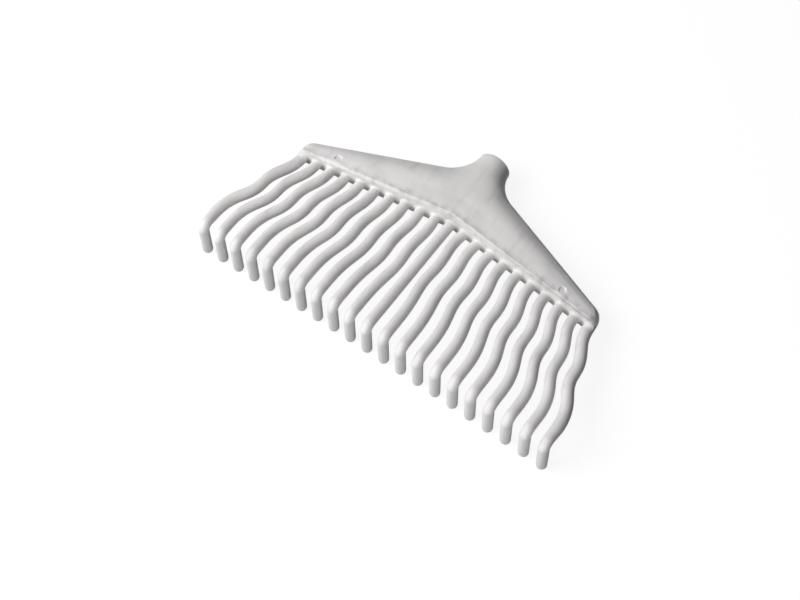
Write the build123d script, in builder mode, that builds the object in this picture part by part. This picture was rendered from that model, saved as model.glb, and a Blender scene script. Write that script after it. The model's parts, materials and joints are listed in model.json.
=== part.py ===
import os
from math import asin, atan2, cos, degrees, hypot, radians, sin, tan

from build123d import *

# Tines: a fan of round wavy bars in one plane, each bent down into a leg
tine_pairs = 10
tine_diameter = 10.8
end_tine_diameter = 12.0
end_margin = 5.5
knee_pitch = 19.9
tip_pitch = 20.2
knee_bow = 2.8
knee_radius = 8.0
leg_drop = 46.5
tip_round = 4.0
root_fillet = 2.6

# Each bar weaves about the straight line from root to knee: how far along that line the
# four bends lie, how far out they stand, and how much more at the ends of the head
bend_shares = (0.112, 0.315, 0.483, 0.718)
bend_offsets = (-2.9, -0.7, -3.6, -0.1)
bend_fanning = (0.6, 5.2, 3.4, 9.8)

# Head body: swept wings either side of the handle socket
half_width = 176.5
front_at_middle = 142.9
front_sweep = 6.8
back_at_middle = 207.5
back_sweep = 21.5
corner_radius = 14.0
flare_radius = 34.0
wing_crown = 14.5
shoulder_crown = 21.5
wing_waist = -2.0
shoulder_waist = 5.0
wing_roll = 12.0
shoulder_roll = 23.0
edge_tuck = 3.0
crown_fall = 0.05
front_round = 3.5
bevel_reach = 10.0
bevel_drop = 1.0

# Handle socket
rim_at = 222.0
socket_wall = 4.3
socket_height = 9.0
handle_diameter = 25.4
handle_clearance = 0.3
socket_depth = 50.0
lip_round = 1.0
bore_lead = 0.5

# Walls of the open underside
wall = 3.0
front_wall = 4.0
rib_thickness = 2.0
rib_recess = 4.0
rib_every = 2

# Moulding marks on the wings
pin_diameter = 6.6
pin_spacing = 265.6
pin_behind_front = 6.5
pin_depth = 0.3

root_pitch = (half_width - end_margin) / tine_pairs
bore_radius = handle_diameter / 2 + handle_clearance
socket_radius = bore_radius + socket_wall
underside = socket_height - socket_radius
rib_pairs = tine_pairs - 2

# Handle length of a curve that stands for a quarter circle, how much of a leg one bend may
# take, how deep a tine is rooted, and a length past every face
roundness = 0.5523
bend_share_of_leg = 0.49
root_bury = 2.5
beyond = 1.2 * half_width

# A root fillet stays clear of the next tine's and of the lower edge of the face
fillet_room = min((root_pitch - tine_diameter) / 2, -underside - tine_diameter / 2) - 0.1


# Plan of the head: the front face and the back edge are two shallow vees
def front_y(x):
    return front_at_middle - abs(x) * tan(radians(front_sweep))


def back_y(x):
    return back_at_middle - abs(x) * tan(radians(back_sweep))


# Centres of the rounded wing corner and of the flare into the socket: each arc is tangent
# to the back edge
corner_x = half_width - corner_radius
corner_y = back_y(corner_x) - corner_radius / cos(radians(back_sweep))
flare_x = socket_radius + flare_radius
flare_y = back_y(flare_x) + flare_radius / cos(radians(back_sweep))
ahead_y = front_y(half_width) - corner_radius
end_reach = (corner_y - ahead_y) / cos(radians(back_sweep)) + corner_radius
neck_reach = back_y(0) - front_y(0)

# Height of the crown above the front face at the middle, and its slope towards the ends
middle_crown = shoulder_crown - crown_fall * (neck_reach - shoulder_roll)
front_slope = (middle_crown - wing_crown) / corner_x

# At rest the rounded tips and the lip of the socket touch the ground
tip_y = tine_diameter / 2 - tip_round
lip_y = rim_at - lip_round
tip_z = tip_round - leg_drop
lip_z = underside + lip_round
span = hypot(lip_y - tip_y, lip_z - tip_z)
rest_angle = degrees(atan2(lip_z - tip_z, lip_y - tip_y) + asin((tip_round - lip_round) / span))


# Upright section through the body, running inward from a point on its back edge: a rolled
# edge, a nearly flat crown, a flat underside and a tucked lower edge. With a skin it is the
# hollow inside that section, whose outer wall is upright
def body_section(centre, radius, turn, reach, roll, waist, crown, tuck, fall, skin):
    inward = Vector(-sin(radians(turn)), -cos(radians(turn)), 0)
    start = Vector(*centre, 0) + inward * radius
    plane = Plane(origin=start, x_dir=inward, z_dir=inward.cross(Vector(0, 0, 1)))
    edge = tuck + skin if skin else 0
    top = crown - skin
    floor = underside - skin
    with BuildSketch(plane) as section:
        with BuildLine():
            Bezier(
                (edge, waist),
                (edge, waist + roundness * (top - waist)),
                (roll - roundness * (roll - edge), top + roundness * (roll - edge) * fall),
                (roll, top),
            )
            Line((roll, top), (reach, top - fall * (reach - roll)))
            Line((reach, top - fall * (reach - roll)), (reach, floor))
            if skin:
                Polyline((reach, floor), (edge, floor), (edge, waist))
            else:
                Line((reach, floor), (tuck, floor))
                Bezier(
                    (tuck, floor),
                    (tuck - roundness * tuck, floor),
                    (0, waist - roundness * (waist - floor)),
                    (0, waist),
                )
        make_face()
    return section.sketch


# Sections at the wing end stand about the centre of the rounded corner
def end_section(turn, reach, skin):
    return body_section(
        (corner_x, corner_y),
        -corner_radius,
        turn,
        reach,
        wing_roll,
        wing_waist,
        wing_crown,
        edge_tuck,
        0,
        skin,
    )


# Sections of the neck fan about the centre of the flare, from the shoulder to the mouth
def neck_section(share, skin):
    turn = back_sweep + (90 - back_sweep) * share
    return body_section(
        (flare_x, flare_y),
        flare_radius,
        turn,
        neck_reach,
        shoulder_roll + (socket_radius - shoulder_roll) * share,
        shoulder_waist + (socket_height - shoulder_waist) * sin(radians(90 * share)),
        shoulder_crown + (socket_height + socket_radius - shoulder_crown) * share,
        edge_tuck + (socket_radius - edge_tuck) * (1 - cos(radians(90 * share))),
        crown_fall * cos(radians(turn)),
        skin,
    )


# Everything ahead of the front face of the right wing, or of a face set back behind it. The
# top edge of the face is rounded and a shallow bevel leads to it along the sloping crown
def front_block(setback):
    along = Vector(cos(radians(front_sweep)), -sin(radians(front_sweep)), -front_slope)
    behind = Vector(sin(radians(front_sweep)), cos(radians(front_sweep)), 0)
    plane = Plane(origin=(0, front_at_middle, 0) + behind * setback, x_dir=behind, z_dir=along)
    with BuildPart() as block:
        with BuildSketch(plane):
            with BuildLine():
                FilletPolyline(
                    (0, -beyond),
                    (0, middle_crown - bevel_drop - setback),
                    (2 * bevel_reach, middle_crown + bevel_drop - setback),
                    radius=front_round,
                )
                Polyline(
                    (2 * bevel_reach, middle_crown + bevel_drop - setback),
                    (2 * bevel_reach, beyond),
                    (-beyond, beyond),
                    (-beyond, -beyond),
                    (0, -beyond),
                )
            make_face()
        extrude(amount=beyond, both=True)
    return block.part


# Body as a plain solid, or with a skin the hollow inside it: a straight tapering wing, a
# neck that fans round the flare, a turned corner and a straight end
def body_form(shares, skin=0, setback=0):
    with BuildPart() as form:
        loft([end_section(back_sweep, end_reach, skin), neck_section(0, skin)])
        loft([neck_section(share, skin) for share in shares])
        revolve(
            end_section(back_sweep, corner_radius, skin),
            axis=Axis((corner_x, corner_y, 0), (0, 0, 1)),
            revolution_arc=back_sweep - 90,
        )
        extrude(end_section(90, corner_radius, skin), amount=ahead_y - corner_y)
        with BuildSketch(Plane.XY.offset(underside - skin)):
            with BuildLine():
                Polyline(
                    (corner_x, corner_y),
                    (corner_x, ahead_y),
                    (corner_x - (corner_y - ahead_y) * tan(radians(back_sweep)), ahead_y),
                    close=True,
                )
            make_face()
        extrude(amount=wing_crown - underside)
        split(bisect_by=Plane.YZ)
        add(front_block(setback), mode=Mode.SUBTRACT)
        mirror(about=Plane.YZ)
    return form.part


def tine_path(k):
    side = 1 if k > 0 else -1
    out = abs(k) / tine_pairs
    root = Vector(root_pitch * k, front_y(root_pitch * k), 0)
    knee = Vector(knee_pitch * k, -knee_bow * out**2, 0)
    tip = Vector(tip_pitch * k, knee.Y, knee.Y * tan(radians(rest_angle)) - leg_drop)
    bends = [
        root + (knee - root) * share + Vector(side * (offset + fanning * out), 0, 0)
        for share, offset, fanning in zip(bend_shares, bend_offsets, bend_fanning)
        if k
    ]
    start = root + (root - (bends + [knee])[0]).normalized() * root_bury
    return [start] + bends + [knee, tip]


# Radius of each bend: arcs meet half way along the shorter leg beside it
def bend_radii(points):
    radii = []
    for before, at, after in zip(points, points[1:], points[2:-1]):
        leg = min((at - before).length, (after - at).length)
        half_turn = radians((at - before).get_angle(after - at) / 2)
        radii.append(bend_share_of_leg * leg / tan(half_turn))
    return radii + [knee_radius]


# Straight runs and tangent arcs from the root, over the knee, to the tip
def tine_runs(k):
    points = tine_path(k)
    with BuildLine() as path:
        FilletPolyline(*points, radius=bend_radii(points))
    return path.edges().sort_by(Axis.Y)[::-1]


# Round bar along some of those runs
def bar_along(runs, diameter):
    with BuildPart() as bar:
        with BuildLine() as spine:
            add(runs)
        with BuildSketch(Plane(origin=spine.line @ 0, z_dir=spine.line % 0)):
            Circle(diameter / 2)
        sweep()
    return bar.part


def tine(k):
    with BuildPart() as bar:
        add(bar_along(tine_runs(k), tine_diameter))
        fillet(bar.edges().sort_by(Axis.Z)[0], tip_round)
    return bar.part


# The end tines are thicker as far as the last straight run, which tapers to the knee
def end_tine(k):
    runs = tine_runs(k)
    taper = runs[-3]
    with BuildPart() as bar:
        add(tine(k))
        add(bar_along(runs[:-3], end_tine_diameter))
        with Locations(Plane(origin=taper @ 0, z_dir=taper % 0)):
            Cone(
                end_tine_diameter / 2,
                tine_diameter / 2,
                taper.length,
                align=(Align.CENTER, Align.CENTER, Align.MIN),
            )
    return bar.part


# The underside is open: a hollow round the socket tube, crossed by ribs
with BuildPart() as hollow:
    add(body_form((0, 0.25, 0.5, 0.75), wall, front_wall))
    with Locations(Plane((0, rim_at, socket_height), x_dir=(1, 0, 0), z_dir=(0, -1, 0))):
        Cylinder(
            socket_radius,
            socket_depth + wall,
            align=(Align.CENTER, Align.CENTER, Align.MIN),
            mode=Mode.SUBTRACT,
        )
    for k in range(-rib_pairs, rib_pairs + 1, rib_every):
        with Locations((root_pitch * k, front_at_middle, underside + rib_recess)):
            Box(
                rib_thickness,
                2 * front_at_middle,
                4 * socket_radius,
                align=(Align.CENTER, Align.CENTER, Align.MIN),
                mode=Mode.SUBTRACT,
            )

with BuildPart() as moulding:
    add(body_form((0, 0.25, 0.5, 0.75, 1)))
    with Locations((0, rim_at, 0)):
        Box(
            beyond,
            beyond,
            beyond,
            align=(Align.CENTER, Align.MIN, Align.CENTER),
            mode=Mode.SUBTRACT,
        )
    outer_rim = moulding.faces().sort_by(Axis.Y)[-1].edges()
    fillet(outer_rim, lip_round)
    add(hollow.part, mode=Mode.SUBTRACT)
    with Locations(Plane((0, rim_at, socket_height), x_dir=(1, 0, 0), z_dir=(0, 1, 0))):
        Hole(bore_radius, socket_depth)
    bore_rim = moulding.edges().filter_by(GeomType.CIRCLE).sort_by(Axis.Y)[-1]
    chamfer(bore_rim, bore_lead)
    # Round marks sunk flat into the crown of each wing
    for x in (-pin_spacing / 2, pin_spacing / 2):
        y = front_y(x) + pin_behind_front
        crown = moulding.part.find_intersection_points(Axis((x, y, 0), (0, 0, 1)))
        top = max(point.Z for point, normal in crown)
        with Locations((x, y, top - pin_depth)):
            Cylinder(
                pin_diameter / 2,
                wall,
                align=(Align.CENTER, Align.CENTER, Align.MIN),
                mode=Mode.SUBTRACT,
            )
    before = moulding.edges()
    for k in range(1 - tine_pairs, tine_pairs):
        add(tine(k))
    seams = [
        edge
        for edge in (moulding.edges() - before).filter_by(GeomType.ELLIPSE)
        if abs(edge.center().Y - front_y(edge.center().X)) < root_bury / 2
    ]
    fillet(seams, min(root_fillet, fillet_room))
    for k in (-tine_pairs, tine_pairs):
        add(end_tine(k))

# The head lies on the ground, centred over the origin
tilted = moulding.part.rotate(Axis.X, -rest_angle)
box = tilted.bounding_box()

with BuildPart() as rake_head:
    with Locations((0, -box.center().Y, -box.min.Z)):
        add(tilted)

rake_head.part.label = "rake_head"
os.makedirs("parts", exist_ok=True)
export_step(rake_head.part, "parts/rake_head.step")
print("rest", rest_angle, "lift", -box.min.Z, "shift", -box.center().Y)
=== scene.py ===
import json
import math

import bmesh
import bpy
import numpy as np
from mathutils import Matrix, Vector
from mathutils.bvhtree import BVHTree


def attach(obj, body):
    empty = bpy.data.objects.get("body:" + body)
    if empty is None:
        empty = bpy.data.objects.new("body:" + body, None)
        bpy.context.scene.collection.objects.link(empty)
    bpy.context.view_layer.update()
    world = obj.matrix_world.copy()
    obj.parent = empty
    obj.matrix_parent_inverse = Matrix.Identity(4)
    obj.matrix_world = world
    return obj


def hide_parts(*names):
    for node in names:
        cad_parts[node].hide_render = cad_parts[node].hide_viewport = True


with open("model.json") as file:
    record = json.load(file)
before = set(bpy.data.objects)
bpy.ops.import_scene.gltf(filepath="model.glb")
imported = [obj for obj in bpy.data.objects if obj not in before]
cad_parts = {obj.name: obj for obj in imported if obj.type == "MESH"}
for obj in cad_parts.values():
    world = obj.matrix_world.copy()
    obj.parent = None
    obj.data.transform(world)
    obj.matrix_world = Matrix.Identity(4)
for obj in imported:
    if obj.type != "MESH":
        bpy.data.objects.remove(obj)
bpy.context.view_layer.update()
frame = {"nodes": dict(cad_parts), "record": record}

print("stage: frame loaded")


# One link or value of a material's node tree, with arithmetic on it
class Wire:
    def __init__(self, sheet, socket):
        self.sheet = sheet
        self.socket = socket

    def combine(self, operation, first, second=0.0):
        made = self.sheet.node("ShaderNodeMath", {"operation": operation}, {0: first, 1: second})
        return made.outputs[0]

    def __add__(self, other):
        return Wire(self.sheet, self.combine("ADD", self, other))

    __radd__ = __add__

    def __mul__(self, other):
        return Wire(self.sheet, self.combine("MULTIPLY", self, other))

    __rmul__ = __mul__

    def __sub__(self, other):
        return Wire(self.sheet, self.combine("SUBTRACT", self, other))

    def __rsub__(self, other):
        return Wire(self.sheet, self.combine("SUBTRACT", other, self))


# The node tree of a material or the world; nodes are added by type, settings and socket values
class Sheet:
    def __init__(self, owner):
        owner.use_nodes = True
        self.tree = owner.node_tree
        self.tree.nodes.clear()

    def node(self, kind, settings=None, sockets=None):
        made = self.tree.nodes.new(kind)
        for key, value in (settings or {}).items():
            setattr(made, key, value)
        for key, value in (sockets or {}).items():
            if isinstance(value, Wire):
                self.tree.links.new(value.socket, made.inputs[key])
            else:
                made.inputs[key].default_value = value
        return made

    def wire(self, kind, settings=None, sockets=None, output=0):
        return Wire(self, self.node(kind, settings, sockets).outputs[output])


# Where the moulding lies: its own axes are worked out from the bore of the socket. In them the
# tines lie in the plane z = 0, the knees along y = 0, and the handle points along +y
lie = {"mouth": 0.222, "lead": 0.0005, "socketHeight": 0.009}


def findRest():
    mount = frame["record"]["mounts"][0]
    axis, middle = mount["axis"], mount["pos_m"]
    tilt = math.atan2(-axis[2], axis[1])
    boreMiddle = lie["mouth"] - lie["lead"] - mount["dims"]["length_mm"] / 2000
    turn = Matrix.Rotation(-tilt, 4, "X")
    start = Vector(middle) - turn @ Vector((0, boreMiddle, lie["socketHeight"]))
    return Matrix.Translation(start) @ turn


restPlace = findRest()
turnOnly = np.array(restPlace.to_3x3())
startOnly = np.array(restPlace.translation)

# The visible moulding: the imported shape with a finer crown, whose creases and step are blended away
shape = {
    "merge": 0.000002,
    "sliver": 0.00002,  # width under which a face is closed up
    "longest": 0.003,  # edge of the crown
    "passes": 8,
    "upward": 0.1,  # least upward normal of what is divided
    "facePad": 0.0005,
    "underside": -0.002,
    "frontMiddle": 0.1429,
    "frontSweep": 6.8,
    "gridStep": 0.0015,
    "gridHalf": 0.18,
    "gridFrom": 0.114,
    "gridTo": 0.213,
    "above": 0.06,  # where the rays start
    "lowest": 0.003,
    "growRounds": 4,
    "softRounds": 14,
    "softEdge": (0.35, 0.95),
    "spreadRounds": 70,
    "spreadPace": 0.8,
    "farthest": 0.001,  # about the most that the top moves
    "kept": 0.1,  # share of an upright step's height that is left, so that its faces keep a width
    "faceEdge": (0.0002, 0.0032),
    "socketEdge": (0.186, 0.204),
    "steep": (0.5, 1.0),
    "steepBehind": (0.004, 0.008),  # the front edge's own rounding isn't counted as steep
    "steepRounds": 3,
    "skinDepth": (0.0028, 0.0014),
    "skinShare": 0.02,
    "ownNormals": 0.9,
    "pinAt": (0.1328, 0.0065),  # from the middle, and behind the front face
    "pinClear": 0.0055,
    "pinEdge": 0.001,
    "pinBlend": 0.7,
    "crease": 32,
}


def frontAt(x):
    return shape["frontMiddle"] - np.abs(x) * math.tan(math.radians(shape["frontSweep"]))


def toMould(points):
    return (points - startOnly) @ turnOnly


def toRest(points):
    return points @ turnOnly.T + startOnly


def ramp(low, high, values):
    share = np.clip((values - low) / (high - low), 0, 1)
    return share * share * (3 - 2 * share)


# How far places on the mould lie from the middle of the nearest round mark
def fromMark(x, y):
    return np.hypot(np.abs(x) - shape["pinAt"][0], y - frontAt(x) - shape["pinAt"][1])


# Faces too narrow to have a direction are closed up. Two faces that this leaves back to back both go,
# with edges left bare, and pinholes are filled, so that the moulding stays closed
def closeSlivers(mesh):
    bmesh.ops.dissolve_degenerate(mesh, dist=shape["sliver"], edges=mesh.edges)
    bmesh.ops.triangulate(mesh, faces=[face for face in mesh.faces if len(face.verts) > 3])
    onCorners = {}
    for face in mesh.faces:
        onCorners.setdefault(frozenset(face.verts), []).append(face)
    doubled = [face for faces in onCorners.values() if len(faces) > 1 for face in faces]
    bmesh.ops.delete(mesh, geom=doubled, context="FACES_ONLY")
    bare = [edge for edge in mesh.edges if not edge.link_faces]
    bmesh.ops.delete(mesh, geom=bare, context="EDGES")
    rims = [edge for edge in mesh.edges if len(edge.link_faces) == 1]
    filled = bmesh.ops.holes_fill(mesh, edges=rims, sides=0)["faces"]
    bmesh.ops.triangulate(mesh, faces=filled)


# Long edges of the crown are halved until it is fine enough to be blended
def refineCrown(mesh):
    for _ in range(shape["passes"]):
        closeSlivers(mesh)
        long = []
        for edge in mesh.edges:
            if edge.calc_length() < shape["longest"]:
                continue
            if max(face.normal.z for face in edge.link_faces) < shape["upward"]:
                continue
            x, y, z = toMould(np.array([corner.co for corner in edge.verts])).T
            if (y > frontAt(x) + shape["facePad"]).all() and (z > shape["underside"]).all():
                long.append(edge)
        if not long:
            break
        bmesh.ops.subdivide_edges(mesh, edges=long, cuts=1)
        bmesh.ops.triangulate(mesh, faces=[face for face in mesh.faces if len(face.verts) > 3])
    closeSlivers(mesh)


# Thin slivers of the crown, left along the lines where its faces met, get better edges
def turnEdges(mesh, heights, share):
    mesh.verts.index_update()
    x, y, z = toMould(np.array([corner.co for corner in mesh.verts])).T
    skin = np.abs(readGrid(heights, x, y) - z) < shape["skinDepth"][1]
    skin &= (readGrid(share, x, y) > shape["skinShare"]) & (y > frontAt(x) + shape["facePad"])
    skin &= fromMark(x, y) > shape["pinClear"]
    faces = [face for face in mesh.faces if all(skin[corner.index] for corner in face.verts)]
    inside = set(faces)
    edges = [edge for edge in mesh.edges if len(edge.link_faces) == 2 and inside.issuperset(edge.link_faces)]
    bmesh.ops.beautify_fill(mesh, faces=faces, edges=edges, method="ANGLE")


# Mean of the four neighbours in a grid, of those that the mask holds
def aroundMean(values, mask):
    total = np.zeros(values.shape)
    count = np.zeros(values.shape)
    for axis, step in ((0, 1), (0, -1), (1, 1), (1, -1)):
        near = np.roll(mask, step, axis)
        total += np.where(near, np.roll(values, step, axis), 0)
        count += near
    return total / np.maximum(count, 1)


# Cells beside the body take the height of its nearest ones, so that reading at its edge stays true
def growEdge(heights, body):
    every = np.ones(body.shape, dtype=bool)
    for _ in range(shape["growRounds"]):
        beside = (aroundMean(body.astype(float), every) > 0) & ~body
        heights = np.where(beside, aroundMean(heights, body), heights)
        body = body | beside
    return heights


# Heights spread out to their neighbours, round after round
def spread(heights, body, pace):
    for _ in range(shape["spreadRounds"]):
        heights = heights + np.where(body, pace * (aroundMean(heights, body) - heights), 0)
    return heights


# Heights of the body's top over its plan, as read by rays from above and as blended, and how far each
# place may follow them: fully inside, and not at all at the outline, steep places and the socket
def readTop(mesh):
    tree = BVHTree.FromBMesh(mesh)
    xs = np.arange(-shape["gridHalf"], shape["gridHalf"], shape["gridStep"])
    ys = np.arange(shape["gridFrom"], shape["gridTo"], shape["gridStep"])
    x, y = np.meshgrid(xs, ys, indexing="ij")
    down = Vector(-turnOnly[:, 2])
    starts = toRest(np.stack((x, y, np.full(x.shape, shape["above"])), axis=-1))
    heights = np.zeros(x.shape)
    for spot in np.ndindex(x.shape):
        distance = tree.ray_cast(Vector(starts[spot]), down)[3]
        heights[spot] = shape["above"] - distance if distance is not None else 0
    behind = y - frontAt(x)
    body = (heights > shape["lowest"]) & (behind > 0)
    heights = growEdge(heights, body)
    covered = body | (behind <= 0)
    inner = covered.astype(float)
    for _ in range(shape["softRounds"]):
        inner = aroundMean(inner, np.ones(x.shape, dtype=bool)) * covered
    inner /= inner[body].max()
    slope = np.hypot(*np.gradient(heights, shape["gridStep"]))
    for _ in range(shape["steepRounds"]):
        slope = aroundMean(slope, body)
    steep = ramp(*shape["steep"], slope) * ramp(*shape["steepBehind"], behind)
    share = ramp(*shape["softEdge"], inner) * (1 - ramp(*shape["socketEdge"], y)) * (1 - steep)
    pace = shape["spreadPace"] * share * ramp(*shape["faceEdge"], behind)
    # spreading sinks round places, so what a second spreading takes away is given back
    once = spread(heights, body, pace)
    shift = 2 * once - spread(once, body, pace) - heights
    blended = heights + shape["farthest"] * np.tanh(shift / shape["farthest"])
    return heights, blended, share


# Value of a grid at places between its points
def readGrid(grid, x, y):
    column = np.clip((x + shape["gridHalf"]) / shape["gridStep"], 0, grid.shape[0] - 1.001)
    row = np.clip((y - shape["gridFrom"]) / shape["gridStep"], 0, grid.shape[1] - 1.001)
    i, j = column.astype(int), row.astype(int)
    u, v = column - i, row - j
    near = grid[i, j] * (1 - u) + grid[i + 1, j] * u
    far = grid[i, j + 1] * (1 - u) + grid[i + 1, j + 1] * u
    return near * (1 - v) + far * v


# How far places on the mould may follow the blended heights; the inner skin lies deeper and stays
def skinWeight(x, y, depth, share):
    clear, edge = shape["pinClear"], shape["pinEdge"]
    free = 1 - shape["pinBlend"] * (1 - ramp(clear - edge, clear + edge, fromMark(x, y)))
    shallow = ramp(*shape["skinDepth"], depth)
    return readGrid(share, x, y) * shallow * ramp(*shape["faceEdge"], y - frontAt(x)) * free


# Moves the outer skin of the crown to the blended heights
def blendBody(mesh, heights, blended, share):
    points = toMould(np.array([corner.co for corner in mesh.verts]))
    x, y, z = points.T
    depth = readGrid(heights, x, y) - z
    target = readGrid(blended, x, y) - shape["kept"] * depth
    points[:, 2] += skinWeight(x, y, depth, share) * (target - z)
    for corner, place in zip(mesh.verts, toRest(points)):
        corner.co = place


# Normals of that skin from the slope of its heights, and zeros where the faces' own are kept
def skinNormals(mesh, heights, blended, share):
    points = np.empty(len(mesh.vertices) * 3)
    mesh.vertices.foreach_get("co", points)
    x, y, z = toMould(points.reshape(-1, 3)).T
    final = heights + share * (blended - heights)
    step = shape["gridStep"]
    slopeX = (readGrid(final, x + step, y) - readGrid(final, x - step, y)) / (2 * step)
    slopeY = (readGrid(final, x, y + step) - readGrid(final, x, y - step)) / (2 * step)
    normals = np.stack((-slopeX, -slopeY, np.ones(len(x))), axis=-1)
    normals /= np.linalg.norm(normals, axis=1, keepdims=True)
    weight = skinWeight(x, y, readGrid(final, x, y) - z, share)
    return (normals @ turnOnly.T) * (weight > shape["ownNormals"])[:, None]


def makeMoulding():
    source = frame["nodes"]["rake_head"]
    grid = bmesh.new()
    grid.from_mesh(source.data)
    bmesh.ops.remove_doubles(grid, verts=grid.verts, dist=shape["merge"])
    heights, blended, share = readTop(grid)
    refineCrown(grid)
    turnEdges(grid, heights, share)
    closeSlivers(grid)
    blendBody(grid, heights, blended, share)
    closeSlivers(grid)
    mesh = bpy.data.meshes.new("rakeMoulding")
    grid.to_mesh(mesh)
    grid.free()
    mesh.materials.clear()
    mesh.materials.append(makePlastic())
    mesh.polygons.foreach_set("use_smooth", [True] * len(mesh.polygons))
    mesh.polygons.foreach_set("material_index", [0] * len(mesh.polygons))
    mesh.set_sharp_from_angle(angle=math.radians(shape["crease"]))
    normals = skinNormals(mesh, heights, blended, share)
    mesh.normals_split_custom_set_from_vertices(normals.tolist())
    piece = bpy.data.objects.new("rakeMoulding", mesh)
    bpy.context.scene.collection.objects.link(piece)
    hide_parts("rake_head")
    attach(piece, "root")
    print("moulding:", len(mesh.polygons), "triangles")


# Satin silver-grey plastic: smooth and bright on top, matt on the legs below the knees, with painted shade
# along the tine roots
plastic = {
    "body": (0.77, 0.755, 0.75, 1),
    "leg": (0.70, 0.70, 0.712, 1),
    # dark colour mixed in for the random blotches and flow streaks, and as painted shade at the tine roots
    "stainAndRootShade": (0.40, 0.395, 0.395, 1),
    "gloss": 0.36,
    "dull": 0.62,
    "specular": 0.25,
    "kneeEdge": (-0.0046, -0.0062),
    "blotchScale": 30,
    "blotchRange": (0.45, 0.68),
    "blotch": 0.20,
    "streakScale": 170,
    "streakPull": (1.0, 0.22, 0.22),
    "streakRange": (0.50, 0.70),
    "streak": 0.16,
    # painted shade along the tine roots, just behind the front face: darker spots and an even darker band
    "rootShadeScale": 120,
    "rootShadeRange": (0.46, 0.64),
    "rootShadeFrom": (-0.002, 0.001),
    "rootShadeTo": (0.009, 0.001),
    "rootShadeSpots": 0.35,
    "rootShadeBand": 0.20,
    "cleanLeg": 0.7,
    "grainScale": 1100,
    "grainDepth": 0.00003,
    "grainStrength": 0.5,
    "blotchRough": 0.06,
    "grainRough": 0.05,
}


def makePlastic():
    material = bpy.data.materials.new("silverPlastic")
    sheet = Sheet(material)
    place = sheet.wire("ShaderNodeTexCoord", None, None, "Object")
    parts = sheet.node("ShaderNodeSeparateXYZ", None, {0: place})
    across, along, above = (Wire(sheet, parts.outputs[index]) for index in range(3))
    along = along - float(startOnly[1])
    above = above - float(startOnly[2])
    # in the moulding's own axes: distance behind the front face, and height over the tines' plane
    reach = along * float(turnOnly[1, 1]) + above * float(turnOnly[2, 1])
    height = along * float(turnOnly[1, 2]) + above * float(turnOnly[2, 2])
    offside = sheet.wire("ShaderNodeMath", {"operation": "ABSOLUTE"}, {0: across})
    behind = reach + offside * math.tan(math.radians(shape["frontSweep"])) - shape["frontMiddle"]

    def rise(limits, value):
        settings = {"interpolation_type": "SMOOTHSTEP"}
        sockets = {0: value, 1: limits[0], 2: limits[1], 3: 0.0, 4: 1.0}
        return sheet.wire("ShaderNodeMapRange", settings, sockets)

    def noise(scale, detail, vector=place):
        return sheet.wire("ShaderNodeTexNoise", None, {"Vector": vector, "Scale": scale, "Detail": detail})

    def mix(share, first, second):
        return sheet.wire("ShaderNodeMix", {"data_type": "RGBA"}, {0: share, 6: first, 7: second}, 2)

    leg = rise(plastic["kneeEdge"], height)
    drawn = sheet.wire("ShaderNodeMapping", None, {"Vector": place, "Scale": plastic["streakPull"]})
    blotches = rise(plastic["blotchRange"], noise(plastic["blotchScale"], 3.0))
    streaks = rise(plastic["streakRange"], noise(plastic["streakScale"], 4.0, drawn))
    # painted shade: darker spots and a darker band along the tine roots, where the tines and their fillets
    # shade the body
    rootShadeNoise = rise(plastic["rootShadeRange"], noise(plastic["rootShadeScale"], 4.0))
    shadeAtRoots = rise(plastic["rootShadeFrom"], behind) * rise(plastic["rootShadeTo"], behind)
    stainAndRootShade = blotches * plastic["blotch"] + streaks * plastic["streak"]
    stainAndRootShade = stainAndRootShade + shadeAtRoots * (rootShadeNoise * plastic["rootShadeSpots"] + plastic["rootShadeBand"])
    stainAndRootShade = stainAndRootShade * (1 - plastic["cleanLeg"] * leg)
    # the dark colour goes in for the blotches and streaks, and as painted shade along the tine roots
    colour = mix(stainAndRootShade, mix(leg, plastic["body"], plastic["leg"]), plastic["stainAndRootShade"])
    grain = noise(plastic["grainScale"], 2.0)
    rough = plastic["gloss"] + leg * (plastic["dull"] - plastic["gloss"])
    rough = rough + blotches * plastic["blotchRough"] + grain * plastic["grainRough"]
    sockets = {"Height": grain * (1 + leg), "Distance": plastic["grainDepth"]}
    sockets["Strength"] = plastic["grainStrength"]
    bump = sheet.wire("ShaderNodeBump", None, sockets)
    sockets = {"Base Color": colour, "Roughness": rough, "Normal": bump}
    sockets["Specular IOR Level"] = plastic["specular"]
    shader = sheet.wire("ShaderNodeBsdfPrincipled", None, sockets)
    sheet.node("ShaderNodeOutputMaterial", None, {"Surface": shader})
    return material


makeMoulding()
print("stage: moulding finished")


# Rays of the camera and of reflections, for which the floor and the surround are white
def seenRays(sheet):
    rays = sheet.node("ShaderNodeLightPath")
    names = ("Is Camera Ray", "Is Glossy Ray", "Is Transmission Ray")
    return sum(Wire(sheet, rays.outputs[name]) for name in names)


# Floor: white where it is seen, with the head's shadow kept on it
floorPlan = {"size": 8.0, "colour": (0.15, 0.15, 0.15, 1), "glow": 0.9}


def makeFloor():
    half = floorPlan["size"] / 2
    corners = [(-half, -half, 0), (half, -half, 0), (half, half, 0), (-half, half, 0)]
    mesh = bpy.data.meshes.new("floor")
    mesh.from_pydata(corners, [], [(0, 1, 2, 3)])
    floor = bpy.data.objects.new("floor", mesh)
    bpy.context.scene.collection.objects.link(floor)
    material = bpy.data.materials.new("paleFloor")
    sheet = Sheet(material)
    lit = sheet.wire("ShaderNodeBsdfDiffuse", None, {"Color": floorPlan["colour"]})
    glow = sheet.wire("ShaderNodeEmission", None, {"Strength": seenRays(sheet) * floorPlan["glow"]})
    both = sheet.wire("ShaderNodeAddShader", None, {0: lit, 1: glow})
    sheet.node("ShaderNodeOutputMaterial", None, {"Surface": both})
    mesh.materials.append(material)


makeFloor()
print("stage: floor laid")

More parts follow.
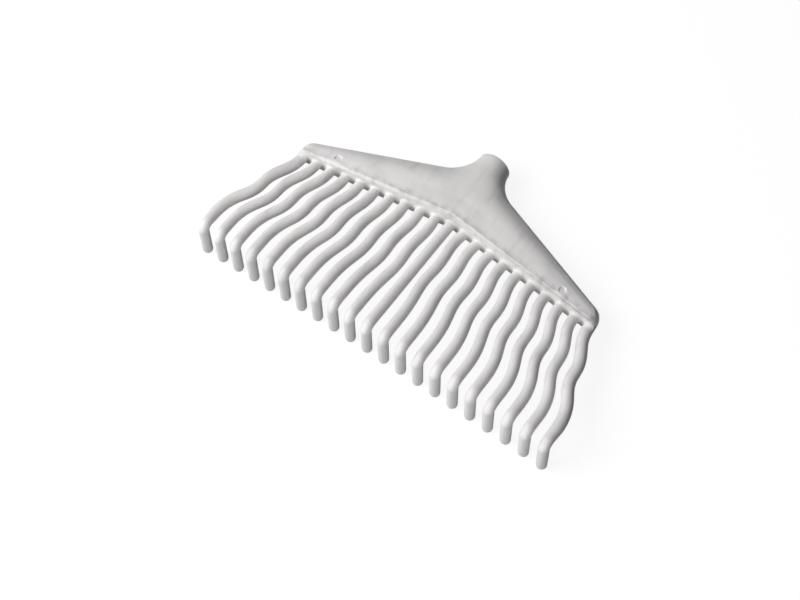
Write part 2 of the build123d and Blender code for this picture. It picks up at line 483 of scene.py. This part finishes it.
# The camera looks down on the row of tines; its angles are about the moulding's own axes
cameraPlan = {
    "azimuth": 35.58,
    "elevation": 60.58,
    "distance": 1.010,
    "lens": 47.25,
    "aim": (-0.00046, 0.01317),
    "middle": 0.0546,
}


def makeCamera():
    plan = cameraPlan
    azimuth, elevation = math.radians(plan["azimuth"]), math.radians(plan["elevation"])
    back = Vector(
        (
            math.sin(azimuth) * math.cos(elevation),
            -math.cos(azimuth) * math.cos(elevation),
            math.sin(elevation),
        )
    )
    right = Vector((math.cos(azimuth), math.sin(azimuth), 0))
    up = back.cross(right)
    target = -plan["aim"][0] * right - plan["aim"][1] * up + Vector((0, plan["middle"], 0))
    place = target + back * plan["distance"]
    local = Matrix((right, up, back)).transposed().to_4x4()
    local.translation = place
    lens = bpy.data.cameras.new("camera")
    lens.lens = plan["lens"]
    lens.sensor_width = 36.0
    camera = bpy.data.objects.new("camera", lens)
    camera.matrix_world = restPlace @ local
    bpy.context.scene.collection.objects.link(camera)
    bpy.context.scene.camera = camera


makeCamera()

# Soft light: a large panel high on the left of the picture, a weak one in front, a dim surround
lampPlan = {
    "key": {"place": (-0.95, -0.55, 1.25), "size": 1.5, "power": 31.0},
    "front": {"place": (0.35, -1.3, 0.42), "size": 1.0, "power": 8.5},
}
surround = 0.05  # strength as a light; it is seen white


def makeLamps():
    for name, plan in lampPlan.items():
        lamp = bpy.data.lights.new(name, "AREA")
        lamp.shape = "DISK"
        lamp.size = plan["size"]
        lamp.energy = plan["power"]
        holder = bpy.data.objects.new(name, lamp)
        place = Vector(plan["place"])
        holder.location = place
        holder.rotation_mode = "QUATERNION"
        holder.rotation_quaternion = (-place).to_track_quat("-Z", "Y")
        bpy.context.scene.collection.objects.link(holder)
    world = bpy.data.worlds.new("surround")
    sheet = Sheet(world)
    strength = surround + seenRays(sheet) * (1 - surround)
    sky = sheet.wire("ShaderNodeBackground", None, {"Color": (1, 1, 1, 1), "Strength": strength})
    sheet.node("ShaderNodeOutputWorld", None, {"Surface": sky})
    bpy.context.scene.world = world


makeLamps()
bpy.context.scene.view_settings.view_transform = "Standard"
print("stage: camera and light ready")
